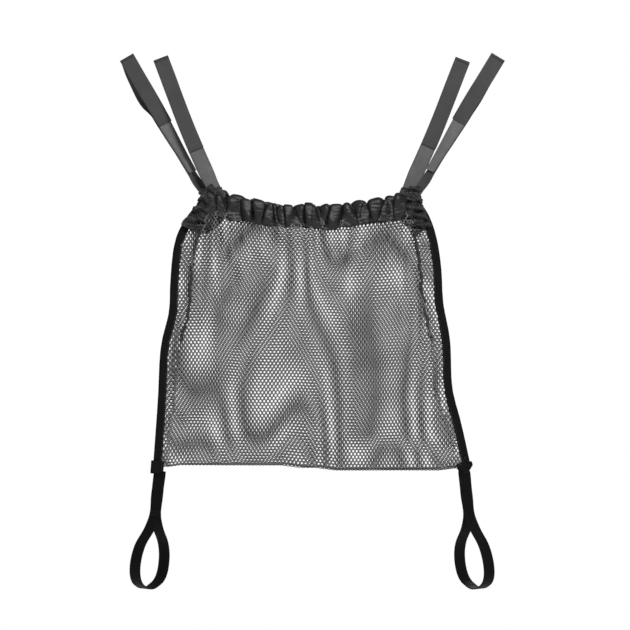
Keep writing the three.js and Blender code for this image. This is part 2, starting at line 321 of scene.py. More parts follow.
MAKERS = {
    "net": knitted,
    # The bunched net is the net thread in a darker colour: painted shade for the gathered corners
    # and rolled seams.
    "shade_darkened_net": knitted,
    "nylon": nylon,
    "webbing": lambda c: woven("strap webbing", c, 0.0013, 0.0009, 0.0003, 0.55, 0.06),
    "binding": lambda c: woven("binding tape", c, 0.0011, 0.0009, 0.0003, 0.5, 0.0, 0.08),
    "elastic": lambda c: woven("braided elastic", c, 0.002, 0.0012, 0.0004, 0.7, 0.0),
    "hook": lambda c: pile("hook tape", c, 0.0011, 0.0003),
    "loop": lambda c: pile("loop tape", tuple(0.8 * part for part in c), 0.0016, 0.0005),
    "thread": spun,
    "floor": floor_paint,
}
COLOUR_OF = {"hook": "tape", "loop": "tape"}
finishes = {}


def finish_of(context, name):
    """The finish with this name, which is made once."""
    if name not in finishes:
        colour = getattr(context.scene.hay_net_colours, COLOUR_OF.get(name, name))
        finishes[name] = MAKERS[name](tuple(colour))
    return finishes[name]


# ---- Reading the frame ----

class Solid:
    """A CAD node's surface with its shared corners welded."""

    def __init__(self, node):
        mesh = frame["nodes"][node].data
        points = np.zeros(len(mesh.vertices) * 3)
        mesh.vertices.foreach_get("co", points)
        points = points.reshape(-1, 3)
        keys, index = np.unique(np.round(points * 1e6), axis=0, return_inverse=True)
        index = index.ravel()
        self.points = keys * 1e-6
        self.faces = [[int(index[v]) for v in face.vertices] for face in mesh.polygons]
        pairs = {
            tuple(sorted((a, b)))
            for face in self.faces
            for a, b in zip(face, face[1:] + face[:1])
        }
        self.edges = np.array(sorted(pairs))

    def section(self, axis, at):
        """(lowest, highest) corners of the cut across an axis, or None outside the solid."""
        a, b = self.points[self.edges[:, 0]], self.points[self.edges[:, 1]]
        crossing = (a[:, axis] - at) * (b[:, axis] - at) < 0
        a, b = a[crossing], b[crossing]
        if not len(a):
            return None
        share = (at - a[:, axis]) / (b[:, axis] - a[:, axis])
        cut = a + (b - a) * share[:, None]
        return cut.min(0), cut.max(0)

    def tree(self):
        return BVHTree.FromPolygons([Vector(p) for p in self.points], self.faces)


def unit(vectors):
    return vectors / np.linalg.norm(vectors, axis=-1, keepdims=True)


def distances(path):
    """How far along a path each of its points lies."""
    return np.concatenate([[0], np.cumsum(np.linalg.norm(np.diff(path, axis=0), axis=1))])


def read_line(at, known, data):
    """Reads rows of three numbers between their known distances."""
    return np.stack([np.interp(at, known, data[:, c]) for c in range(3)], -1)


class Ribbon:
    """A strip's middle line, with its direction across and its direction out of its face."""

    def __init__(self, middle, across, front):
        self.middle, self.across, self.front = middle, unit(across), unit(front)
        self.along = distances(middle)

    @classmethod
    def of_node(cls, node, width, thickness, slack=0.00005):
        """Reads the cross-sections of a CAD ribbon, from its highest end to the other."""
        solid = Solid(node)
        mates, likely = {}, []
        for a, b in solid.edges.tolist():
            size = np.linalg.norm(solid.points[a] - solid.points[b])
            for kind, target, off in (
                ("width", width, 0.00002), ("thickness", thickness, slack),
            ):
                if abs(size - target) < off:
                    likely.append((abs(size - target), kind, a, b))
        for _, kind, a, b in sorted(likely):
            if (kind, a) not in mates and (kind, b) not in mates:
                mates[kind, a], mates[kind, b] = b, a
        row_of, rows = {}, []
        for v in range(len(solid.points)):
            if v in row_of:
                continue
            w, t = mates["width", v], mates["thickness", v]
            row = [v, w, mates["width", t], t]
            rows.append(row)
            row_of.update(dict.fromkeys(row, len(rows) - 1))
        beside = {k: set() for k in range(len(rows))}
        for a, b in solid.edges:
            if row_of[a] != row_of[b]:
                beside[row_of[a]].add(row_of[b])
                beside[row_of[b]].add(row_of[a])
        ends = [k for k in beside if len(beside[k]) == 1]
        here = max(ends, key=lambda k: solid.points[rows[k], 2].mean())
        corners, seen = [solid.points[rows[here]]], {here}
        while beside[here] - seen:
            here = min(beside[here] - seen)
            seen.add(here)
            found = solid.points[rows[here]]
            shape = corners[-1] - corners[-1].mean(0)
            turned = [found[[0, 1, 2, 3]], found[[1, 0, 3, 2]],
                      found[[3, 2, 1, 0]], found[[2, 3, 0, 1]]]
            corners.append(max(turned, key=lambda four: ((four - four.mean(0)) * shape).sum()))
        corners = np.array(corners)
        across = corners[:, 1] - corners[:, 0]
        front = corners[:, 0] - corners[:, 3]
        if across[0] @ (1, 0, 0) < 0:
            across = -across
        return cls(corners.mean(1), across, front)

    def turned_to(self, direction):
        """The same strip with its face turned so that its first row's points this way."""
        if self.front[0] @ np.array(direction) < 0:
            self.front = -self.front
        return self

    def at(self, places):
        """The strip with its rows at these distances, on a smooth curve."""
        return Ribbon(*(smooth_read(self.along, data, places)
                        for data in (self.middle, self.across, self.front)))

    def resampled(self, step):
        """The strip with an even, finer spacing."""
        count = max(2, round(self.along[-1] / step))
        return self.at(np.linspace(0, self.along[-1], count + 1))

    def part(self, start, end):
        """The stretch from one distance to another."""
        inside = (self.along > start + 1e-6) & (self.along < end - 1e-6)
        return self.at(np.concatenate([[start], self.along[inside], [end]]))

    def with_tail(self, length):
        """The strip with its last end carried straight on."""
        step = unit(self.middle[-1] - self.middle[-2]) * length / 3
        tail = [self.middle[-1] + step * (k + 1) for k in range(3)]
        return Ribbon(
            np.concatenate([self.middle, tail]),
            *(np.concatenate([data, data[-1:].repeat(3, axis=0)])
              for data in (self.across, self.front)),
        )


def smooth_read(at_known, data, at):
    """Reads data between its known places on a curve without corners."""
    slopes = np.gradient(data, at_known, axis=0)
    k = np.clip(np.searchsorted(at_known, at) - 1, 0, len(at_known) - 2)
    gap = (at_known[k + 1] - at_known[k])[:, None]
    s = (at - at_known[k])[:, None] / gap
    return (
        data[k] * (1 + 2 * s) * (1 - s) ** 2 + slopes[k] * gap * s * (1 - s) ** 2
        + data[k + 1] * s * s * (3 - 2 * s) + slopes[k + 1] * gap * s * s * (s - 1)
    )


# ---- Making meshes ----

def make_piece(name, points, faces, material, strip=None):
    """A mesh object in the row frame. strip gives each point's place across and along."""
    mesh = bpy.data.meshes.new(name)
    mesh.from_pydata([tuple(p) for p in points], [], faces)
    mesh.materials.append(material)
    if strip is not None:
        corners = np.zeros(len(mesh.loops), dtype=np.int32)
        mesh.loops.foreach_get("vertex_index", corners)
        layer = mesh.uv_layers.new(name="Strip")
        layer.data.foreach_set("uv", np.asarray(strip, dtype=np.float32)[corners].ravel())
    mesh.shade_smooth()
    mesh.update()
    piece = bpy.data.objects.new(name, mesh)
    bpy.context.scene.collection.objects.link(piece)
    return piece


def outward(points, faces):
    """The faces, turned over if they enclose a negative volume."""
    volume = 0.0
    for face in faces:
        a = points[face[0]]
        for b, c in zip(face[1:-1], face[2:]):
            volume += a @ np.cross(points[b], points[c])
    return faces if volume > 0 else [tuple(reversed(face)) for face in faces]


def grid_faces(rows, columns, start=0, closed=False):
    """Faces of a grid of points. A closed grid joins its last column to its first."""
    faces = []
    for j in range(rows - 1):
        for i in range(columns if closed else columns - 1):
            a = start + j * columns + i
            b = start + j * columns + (i + 1) % columns
            faces.append((a, b, b + columns, a + columns))
    return faces


def strip_piece(name, ribbon, width, thickness, material, slot, wander=0.0, girth=None):
    """Webbing or tape with rounded edges along a ribbon. girth narrows it row by row."""
    half, deep, cut = width / 2, thickness / 2, thickness * 0.3
    flat = np.linspace(-half + cut, half - cut, 9)
    section = [(a, deep) for a in flat]
    section += [(half - cut * 0.3, deep * 0.72), (half, 0), (half - cut * 0.3, -deep * 0.72)]
    section += [(a, -deep) for a in flat[::-1]]
    section += [(-half + cut * 0.3, -deep * 0.72), (-half, 0), (-half + cut * 0.3, deep * 0.72)]
    section = np.array(section)
    ease = np.minimum(1, np.minimum(ribbon.along, ribbon.along[-1] - ribbon.along) / 0.02)
    sway = wander * ease * (np.sin(ribbon.along * 61) + 0.6 * np.sin(ribbon.along * 149 + 1.3))
    middle = ribbon.middle + ribbon.front * sway[:, None]
    if girth is None:
        girth = np.ones(len(middle))
    points = (
        middle[:, None]
        + ribbon.across[:, None] * section[None, :, :1] * girth[:, None, None]
        + ribbon.front[:, None] * section[None, :, 1:]
    )
    rows, columns = points.shape[:2]
    strip = np.stack(np.broadcast_arrays(section[None, :, 0], ribbon.along[:, None]), -1)
    faces = grid_faces(rows, columns, closed=True)
    faces.append(tuple(range(columns)))
    faces.append(tuple((rows - 1) * columns + i for i in reversed(range(columns))))
    points = points.reshape(-1, 3)
    return make_piece(
        name, points, outward(points, faces), material, strip.reshape(-1, 2),
    )


def grid_normals(grid):
    """The direction out of the cloth at each point of a grid."""
    return unit(np.cross(np.gradient(grid, axis=0), np.gradient(grid, axis=1)))


def facing(normals, depthwise):
    """The directions, turned over where they don't point to the front (-1) or back (1)."""
    return normals * np.sign(normals @ (0, depthwise, 0))[:, None]


def sheet_piece(name, grid, thickness, material, strip=None):
    """A closed sheet of even thickness about a grid of points."""
    rows, columns = grid.shape[:2]
    offset = grid_normals(grid) * thickness / 2
    points = np.concatenate([(grid + offset).reshape(-1, 3), (grid - offset).reshape(-1, 3)])
    under = rows * columns
    faces = grid_faces(rows, columns)
    faces += [tuple(reversed(face)) for face in grid_faces(rows, columns, under)]
    rim = list(range(columns))
    rim += [j * columns + columns - 1 for j in range(1, rows)]
    rim += [(rows - 1) * columns + i for i in range(columns - 2, -1, -1)]
    rim += [j * columns for j in range(rows - 2, 0, -1)]
    faces += [(b, a, a + under, b + under) for a, b in zip(rim, rim[1:] + rim[:1])]
    if strip is not None:
        strip = np.concatenate([strip.reshape(-1, 2)] * 2)
    return make_piece(name, points, outward(points, faces), material, strip)


def stitch_piece(name, lines, context):
    """Rows of separate stitches. Each line is its points and the direction out of the cloth."""
    sizes = context.scene.hay_net_sizes
    radius, stitch, gap = sizes.thread_radius, sizes.stitch_length, 0.35
    around = np.linspace(0, 2 * math.pi, 6, endpoint=False)
    profile = [(0.0, 0.35), (0.12, 0.85), (0.5, 1.0), (0.88, 0.85), (1.0, 0.35)]
    points, faces = [], []
    for path, out in lines:
        along = distances(path)
        count = max(1, int(along[-1] // stitch))
        pitch = along[-1] / count
        for k in range(count):
            ends = [(k + 0.5 * gap) * pitch, (k + 1 - 0.5 * gap) * pitch]
            a, b = (read_line(end, along, path) for end in ends)
            up = read_line(sum(ends) / 2, along, out)
            side = np.cross(b - a, up)
            side, up = unit(side), unit(up)
            start = len(points)
            for share, girth in profile:
                sink = radius * 0.5 * (2 * share - 1) ** 2
                centre = a + (b - a) * share + up * (radius * 0.4 - sink)
                points += [
                    centre + radius * girth * (side * math.cos(t) + up * math.sin(t) * 0.8)
                    for t in around
                ]
            ring = len(around)
            body = grid_faces(len(profile), ring, start, closed=True)
            last = start + (len(profile) - 1) * ring
            body.append(tuple(start + i for i in range(ring)))
            body.append(tuple(last + i for i in reversed(range(ring))))
            faces += body
    points = np.array(points)
    material = finish_of(context, "thread")
    return make_piece(name, points, outward(points, faces), material)


# ---- The net ----

class Drape:
    """The shape that a net panel hangs in, read at any place of its flat outline."""

    STEP = 0.004

    def __init__(self, node):
        low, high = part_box(node)
        tree = Solid(node).tree()
        self.x = np.arange(low.x - 2 * self.STEP, high.x + 3 * self.STEP, self.STEP)
        self.z = np.arange(low.z - 2 * self.STEP, high.z + 3 * self.STEP, self.STEP)
        self.depth = np.zeros((len(self.z), len(self.x)))
        self.held = np.zeros(self.depth.shape, dtype=bool)
        for j, z in enumerate(self.z):
            for i, x in enumerate(self.x):
                near = tree.ray_cast(Vector((x, low.y - 1, z)), Vector((0, 1, 0)))[0]
                far = tree.ray_cast(Vector((x, high.y + 1, z)), Vector((0, -1, 0)))[0]
                self.held[j, i] = near is not None
                if near is None:
                    near = far = tree.find_nearest(Vector((x, (low.y + high.y) / 2, z)))[0]
                self.depth[j, i] = (near.y + far.y) / 2
        for _ in range(5):
            padded = np.pad(self.depth, 1, mode="edge")
            blurred = (padded[:-2, 1:-1] + padded[2:, 1:-1] + padded[1:-1, :-2]
                       + padded[1:-1, 2:] + 2 * self.depth)
            self.depth = blurred / 6
        self.low, self.high = low, high
        reach = np.where(self.held.any(0))[0]
        bottom = np.array([self.z[self.held[:, i]].min() for i in reach])
        top = np.array([self.z[self.held[:, i]].max() for i in reach])
        upper = self.held[np.where(self.held.any(1))[0][-4]]
        self.low_edge = bottom.mean()
        self.rims = {
            "hem": (self.x[reach], np.convolve(bottom, np.ones(7) / 7, "same"), bottom.mean()),
            "mouth": (self.x[reach], np.convolve(top, np.ones(7) / 7, "same"), high.z),
        }
        self.mouth_span = (self.x[upper].min() + 0.01, self.x[upper].max() - 0.01)

    def hem(self, x):
        """How far the bottom fold lies above its mean height."""
        places, heights, mean = self.rims["hem"]
        return np.interp(np.clip(x, places[4], places[-5]), places, heights) - mean

    def mouth(self, x):
        """How far the mouth hangs below its ends."""
        places, heights, end = self.rims["mouth"]
        return np.interp(np.clip(x, *self.mouth_span), places, heights) - end

    def foot(self, x):
        """The lowest height that is still on the panel."""
        return self.low_edge + self.hem(x) + self.STEP

    def inside(self, x, z):
        """Whether places lie on the panel."""
        i = np.clip(np.round((x - self.x[0]) / self.STEP).astype(int), 0, len(self.x) - 1)
        j = np.clip(np.round((z - self.z[0]) / self.STEP).astype(int), 0, len(self.z) - 1)
        return self.held[j, i]

    def points(self, x, z):
        """Where flat places lie on the panel."""
        i = np.clip((x - self.x[0]) / self.STEP, 0, len(self.x) - 1.001)
        j = np.clip((z - self.z[0]) / self.STEP, 0, len(self.z) - 1.001)
        i0, j0 = i.astype(int), j.astype(int)
        fi, fj = i - i0, j - j0
        d = self.depth
        y = ((d[j0, i0] * (1 - fi) + d[j0, i0 + 1] * fi) * (1 - fj)
             + (d[j0 + 1, i0] * (1 - fi) + d[j0 + 1, i0 + 1] * fi) * fj)
        return np.stack([x, y, z], -1)


HOLE = np.array([(0, 1), (1, 0.5), (1, -0.5), (0, -1), (-1, -0.5), (-1, 0.5)])
SIDE_CORNERS = [1, 2, 4, 5]


def net_piece(name, place, keep, area, context, scale=(1.0, 1.0), side=0, finish="net"):
    """Hexagonal net over a flat area ((x, z) corners). place turns flat places into points and
    directions out of the cloth, and keep says which cells there are. A panel in two halves has
    the same cells in both, and each half, side -1 or 1, makes its own share of the thread."""
    sizes = context.scene.hay_net_sizes
    wide, rise = sizes.cell_width * scale[0], sizes.cell_rise * scale[1]
    (x0, z0), (x1, z1) = area
    rows = int((z1 - z0) / rise) + 3
    columns = int((x1 - x0) / wide) + 4
    j, i = np.mgrid[0:rows, 0:columns]
    centre_x = x0 + (i - 1.5 + 0.5 * (j % 2)) * wide
    centre_z = z1 - (j - 1) * rise
    wanted = keep(centre_x, centre_z)
    wanted[[0, -1]] = False
    wanted[:, [0, -1]] = False
    half_wide = (wide - sizes.pillar_width) / 2
    half_high = rise * 2 / 3 - sizes.bar_width / 2
    hole = HOLE * (half_wide, half_high)
    beside = rise / 3 - sizes.bar_width * 0.08
    hole[SIDE_CORNERS, 1] = np.sign(hole[SIDE_CORNERS, 1]) * beside
    flat_x = centre_x[..., None] + hole[:, 0]
    flat_z = centre_z[..., None] + hole[:, 1]

    def corner(k, down=0, right=0):
        """Each cell's corner k, or that of the cell below or beside it."""
        odd = (j % 2 == 1) if down else 0
        column = np.clip(i + right + odd, 0, columns - 1)
        row = np.clip(j + down, 0, rows - 1)
        return (row * columns + column) * 6 + k, wanted[row, column]

    joints = [
        (corner(1), corner(5, 0, 1), corner(4, 0, 1), corner(2)),
        (corner(2), corner(0, 1, 0), corner(5, 1, 0), corner(3)),
        (corner(3), corner(1, 1, -1), corner(0, 1, -1), corner(4)),
        (corner(3), corner(5, 1, 0), corner(1, 1, -1)),
        (corner(2), corner(4, 0, 1), corner(0, 1, 0)),
    ]

    def middles(joint):
        """Where the cells of a joint are across the panel."""
        return [centre_x.ravel()[index // 6] for index, _ in joint]

    inner = np.zeros_like(wanted)
    inner[:-1, 1:-2] = True
    top = []
    for joint in joints:
        used = np.logical_or.reduce([there for _, there in joint]) & inner
        if side:
            owner = np.logical_or.reduce(
                [there & (middle < 0) for (_, there), middle in zip(joint, middles(joint))]
            )
            used &= owner if side < 0 else ~owner
        top.append(np.stack([index[used] for index, _ in joint], -1))
    used = np.unique(np.concatenate([faces.ravel() for faces in top]))
    renumber = np.full(rows * columns * 6, -1)
    renumber[used] = np.arange(len(used))
    top = [renumber[faces] for faces in top]
    points, out = place(flat_x.ravel()[used], flat_z.ravel()[used])
    half = out * sizes.thread_depth / 2
    ahead = np.concatenate([
        np.stack([faces[:, k], faces[:, (k + 1) % faces.shape[1]]], -1)
        for faces in top for k in range(faces.shape[1])
    ])
    count = len(used)
    keys = ahead[:, 0] * count + ahead[:, 1]
    border = ahead[~np.isin(keys, ahead[:, 1] * count + ahead[:, 0])]
    a, b = border.T
    walls = np.stack([b, a, a + count, b + count], -1)
    faces = [tuple(f) for faces in top for f in faces.tolist()]
    faces += [tuple(f) for faces in top for f in (faces[:, ::-1] + count).tolist()]
    faces += [tuple(f) for f in walls.tolist()]
    points = np.concatenate([points + half, points - half])
    material = finish_of(context, finish)
    return make_piece(name, points, outward(points, faces), material)


def waves(seed, count, shortest, longest):
    """A smooth random field over the flat cloth, between about -1 and 1."""
    draw = random.Random(seed)
    parts = []
    for _ in range(count):
        size = draw.uniform(shortest, longest)
        angle = draw.uniform(0, math.pi)
        parts.append((math.cos(angle) / size, math.sin(angle) / size, draw.uniform(0, 1)))

    def field(x, z):
        total = sum(np.sin(2 * math.pi * (fx * x + fz * z + shift)) for fx, fz, shift in parts)
        return total / math.sqrt(count)

    return field


def with_directions(place, step):
    """Gives each flat place its point and the direction out of the cloth there."""
    def both(x, z):
        points = place(x, z)
        right, up = place(x + step, z) - points, place(x, z + step) - points
        return points, unit(np.cross(right, up))

    return both


def panel_place(drape, seed, gathers, shift, tilt):
    """Where a flat place of a net panel hangs, with its folds."""
    sideways = waves(seed, 5, 0.11, 0.26)
    downwards = waves(seed + 1, 4, 0.14, 0.30)
    ripple = waves(seed + 2, 6, 0.05, 0.12)
    draw = random.Random(seed + 3)
    pleats = [(draw.uniform(0.014, 0.03), draw.uniform(0, 1)) for _ in range(4)]
    top, bottom = drape.high.z, drape.low.z
    middle, half = (drape.low.x + drape.high.x) / 2, (drape.high.x - drape.low.x) / 2

    def fold(x, z):
        down = np.clip((top - z) / (top - bottom), 0, 1)
        edge = np.clip(1 - np.abs(x - middle) / half, 0, 1)
        calm = np.minimum(1, edge * 6) * np.minimum(1, (1 - down) * 8)
        gather = sum(np.sin(2 * math.pi * (x * (1 - 0.25 * down) / size + start))
                     for size, start in pleats)
        swag = 0.0
        for side in (-1, 1):
            dx, dz = side * 0.165 - x, top + 0.01 - z
            bearing = np.arctan2(dz, side * dx)
            reach = np.hypot(dx, dz)
            swag = swag + np.sin(bearing * 17 + side) * np.exp(-((reach - 0.12) / 0.12) ** 2)
        return calm * (gathers * gather * np.exp(-down * 7) + 0.0022 * ripple(x, z)
                       + 0.0024 * swag)

    def place(x, z):
        down = np.clip((top - z) / (top - bottom), 0, 1)
        calm = np.minimum(1, (1 - down) * 6)
        moved_x = x + shift * sideways(x, 0.35 * z) + tilt * (z - (top + bottom) / 2)
        moved_z = z + calm * (0.4 * shift * downwards(x, 0.3 * z) - tilt * (x - middle))
        moved_z = moved_z + drape.hem(x) * down ** 4 + drape.mouth(x) * (1 - down) ** 2
        points = drape.points(moved_x, moved_z)
        points[..., 1] += fold(moved_x, moved_z)
        return points

    return with_directions(place, 0.001)


def declare_net(drape, halves=1):
    """Works out the flat cloth that a net was cut from, but passes it on nowhere. Its thread is
    taken as 0.78 of that, which is an estimate: flat pieces of this net measure 0.74 to 0.77."""
    outline = drape.held.sum() * drape.STEP ** 2 / halves
    length = drape.high.z - drape.low.z
    thread_share = 0.78
    outline / length
    outline * thread_share


def add_nets(context):
    """The back and front nets, each in two halves."""
    seed = context.scene.hay_net_sizes.seed
    panels = {
        "net_back": (seed, 0.0010, 0.0044, 0.026, (1.08, 0.985)),
        "net_front": (seed + 10, 0.0024, 0.0038, 0.0, (1.0, 1.0)),
    }
    for node, (fold_seed, gathers, shift, tilt, scale) in panels.items():
        drape = Drape(node)
        place = panel_place(drape, fold_seed, gathers, shift, tilt)

        def keep(x, z, drape=drape, place=place):
            points, _ = place(x, z)
            beside = drape.inside(points[..., 0], np.maximum(points[..., 2], drape.foot(x)))
            return beside & (z > drape.low_edge)

        area = (
            (drape.low.x - 0.02, drape.low_edge - 0.001),
            (drape.high.x + 0.02, drape.high.z + 0.03),
        )
        for side, sign in SIDES.items():
            piece = net_piece(f"{node}_{side}", place, keep, area, context, scale, sign)
            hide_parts(node)
            below = [add_hem(context, drape)] if node == "net_back" and side == "left" else []
            declare_net(drape, 2)
            fasten_to_mouth(piece, side if node == "net_front" else "")


def inside_outline(outline, x, z):
    """Whether flat places lie inside a closed outline of (x, z) corners."""
    found = np.zeros(x.shape, dtype=bool)
    for (ax, az), (bx, bz) in zip(outline, outline[1:] + outline[:1]):
        if az != bz:
            crossing = (z > min(az, bz)) & (z <= max(az, bz))
            found ^= crossing & (x < ax + (z - az) * (bx - ax) / (bz - az))
    return found


def add_gussets(context):
    """The narrow side strips of net, and the rolled edge of net down each front seam."""
    shade_darkened_net = add_gathers(context)
    for side, sign in SIDES.items():
        drape = Drape(f"gusset_{side}")
        place = with_directions(drape.points, 0.001)

        def keep(x, z, drape=drape, place=place):
            points, _ = place(x, z)
            return drape.inside(points[..., 0], points[..., 2])

        area = ((drape.low.x, drape.low.z), (drape.high.x, drape.high.z + 0.01))
        piece = net_piece(f"gusset_{side}_net", place, keep, area, context)
        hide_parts(f"gusset_{side}")
        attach(piece, "bag")
        seam = add_rolled_seam(context, side, sign)
        declare_net(drape)


def add_rolled_seam(context, side, sign):
    """The upper part of the front net's side edge, pulled into a tight roll."""
    solid = Solid("net_front")
    low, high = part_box("net_front")
    heights = np.linspace(low.z + 0.21, high.z - 0.028, 60)
    cuts = [solid.section(2, z) for z in heights]
    edge = 0 if sign < 0 else 1
    x = np.array([cut[edge][0] for cut in cuts])
    tree = solid.tree()
    y = []
    for at, z in zip(x - sign * 0.002, heights):
        y.append(tree.ray_cast(Vector((at, low.y - 1, z)), Vector((0, 1, 0)))[0].y)
    y = np.array(y) - 0.0008
    x = x + 0.0009 * np.sin(heights * 190) + 0.0006 * np.sin(heights * 413)
    path = np.stack([x, y, heights], -1)
    # The rolled seam wears the darker bunched net colour, which paints the shade inside the roll.
    piece = rolled_net(context, f"front_seam_{side}", path, 0.0021, 1.4, "shade_darkened_net")
    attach(piece, "bag")
    return piece


def rolled_net(context, name, path, radius, turns, finish):
    """Net rolled in on itself along a path."""
    known = distances(path)
    along = unit(np.gradient(path, axis=0))
    sideways = unit(np.cross(along, (0.0, 1, 0)))
    ahead = np.cross(sideways, along)
    wrap = 2 * math.pi * radius * turns

    def place(across, at):
        turn = (across / radius)[..., None]
        out = read_line(at, known, sideways) * np.sin(turn)
        out = out + read_line(at, known, ahead) * np.cos(turn)
        spiral = radius * (1 - 0.2 * turns * (across / wrap)[..., None])
        return read_line(at, known, path) + out * spiral, out

    def keep(across, distance):
        return (across > 0) & (across < wrap) & (distance > 0) & (distance < known[-1])

    area = ((0, 0), (wrap, known[-1]))
    return net_piece(name, place, keep, area, context, FINE_NET, finish=finish)


def add_hem(context, drape):
    """The bottom fold, where the front net turns under and becomes the back net."""
    low, high = drape.x[drape.held.any(0)][[3, -4]]
    x = np.linspace(low, high, 120)
    z = drape.low_edge + drape.hem(x) + 0.0012
    y = drape.points(x, z)[:, 1] * 0.5
    piece = rolled_net(context, "bottom_fold", np.stack([x, y, z], -1), 0.0015, 1.2, "net")
    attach(piece, "bag")
    return piece


def add_gathers(context):
    """The gathered net at each end of the mouth, where casing, strap and binding meet, in the
    darker net colour that paints the shade between its folds.
    """
    seed = context.scene.hay_net_sizes.seed
    joints = {joint["name"]: joint for joint in frame["joints"]}
    casing = Solid("casing_front")
    made = {}
    for side, sign in SIDES.items():
        outer = Vector(joints[f"outer_{side}_root"]["pos_m"])
        inner = Vector(joints[f"inner_{side}_root"]["pos_m"])
        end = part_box("casing_front")[0 if sign < 0 else 1].x - sign * 0.006
        cut = casing.section(0, end)
        binding = Solid(f"binding_{side}")

        def rim(z, binding=binding, sign=sign):
            low, high = binding.section(2, z)
            return (low if sign < 0 else high)[0] - sign * 0.004

        outline = [
            (outer.x + sign * 0.004, outer.z + 0.005), (inner.x, inner.z + 0.006),
            (end, cut[1][2] - 0.002), (end, cut[0][2] - 0.004),
            (inner.x + sign * 0.012, cut[0][2] - 0.026), (rim(-0.272), -0.272),
            (rim(-0.256), -0.256), (rim(-0.24), -0.24),
        ]
        xs, zs = zip(*outline)
        area = ((min(xs), min(zs)), (max(xs), max(zs)))
        shade_darkened_net = []
        for layer, depth in (("front", -0.011), ("middle", -0.003), ("back", 0.006)):
            bunch = seed + 40 + 7 * sign + int(depth * 1000)
            crumple = waves(bunch, 6, 0.009, 0.022)
            slip = waves(bunch + 1, 5, 0.014, 0.030)

            def crumpled(x, z, depth=depth, crumple=crumple, slip=slip):
                y = depth + 0.0042 * crumple(x, z)
                return np.stack([x + 0.0022 * slip(x, z), y, z + 0.0022 * slip(z, x)], -1)

            def keep(x, z, outline=outline):
                return inside_outline(outline, x, z)

            # Each gathered layer wears the darker bunched net colour, which paints the shade
            # between the folds.
            piece = net_piece(
                f"net_gather_{side}_{layer}", with_directions(crumpled, 0.0005), keep, area,
                context, FINE_NET, finish="shade_darkened_net",
            )
            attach(piece, "bag")
            shade_darkened_net.append(piece)
        made[side] = shade_darkened_net
    return made


# ---- The mouth ----

class Mouth:
    """The middle line, top and foot of a CAD casing, read across the bag."""

    def __init__(self, node):
        solid = Solid(node)
        low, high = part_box(node)
        self.low, self.high = low.x, high.x
        self.x = np.linspace(low.x + 0.006, high.x - 0.006, 50)
        cuts = [solid.section(0, x) for x in self.x]
        self.y = np.array([(a[1] + b[1]) / 2 for a, b in cuts])
        self.foot = np.array([a[2] for a, _ in cuts])
        self.top = np.array([b[2] for _, b in cuts])

    def line(self, x):
        """Depth, foot and top at each place across, carried straight on past the ends."""
        found = []
        for known in (self.y, self.foot, self.top):
            slope = np.interp(x, self.x, np.gradient(known, self.x))
            past = x - np.clip(x, self.x[0], self.x[-1])
            found.append(np.interp(x, self.x, known) + slope * past)
        return found


class Pleats:
    """Irregular gathers: soft lumps of cloth between narrow folds."""

    def __init__(self, seed, start, end, narrowest, widest):
        draw = random.Random(seed)
        at, lines = start - 0.02, []
        while at < end + 0.03:
            lines.append((
                at, draw.uniform(-0.42, 0.42), draw.uniform(0.0010, 0.0034),
                draw.uniform(0.8, 2.2), draw.uniform(0, 2 * math.pi),
            ))
            share = (at - start) / (end - start)
            at += draw.uniform(narrowest, widest) * (1.25 - 0.45 * share)
        self.lines = lines
        self.puffs = [draw.uniform(0.3, 1.0) for _ in lines]
        self.slants = [draw.uniform(0.62, 1.5) for _ in lines]

    def read(self, x, height, turn):
        """For each place: how far it puffs out, and how far it leans over the next fold."""
        edges = np.array([
            at + lean * (height - 0.5) * 0.032 + wiggle * np.sin(turn * pace + phase)
            for at, lean, wiggle, pace, phase in self.lines
        ])
        apart = np.arange(len(edges))[:, None, None] * 1e-5
        edges = np.maximum.accumulate(edges + apart, axis=0)
        k = np.clip((edges <= x).sum(0) - 1, 0, len(edges) - 2)
        left = np.take_along_axis(edges, k[None], 0)[0]
        right = np.take_along_axis(edges, k[None] + 1, 0)[0]
        width = np.maximum(right - left, 0.002)
        p = np.clip((x - left) / width, 0, 1)
        puff = np.sin(math.pi * p ** np.array(self.slants)[k]) ** 0.85 * np.array(self.puffs)[k]
        size = np.clip(width / 0.015, 0.3, 1.35)
        return puff * size, -0.11 * width * np.sin(2 * math.pi * p)


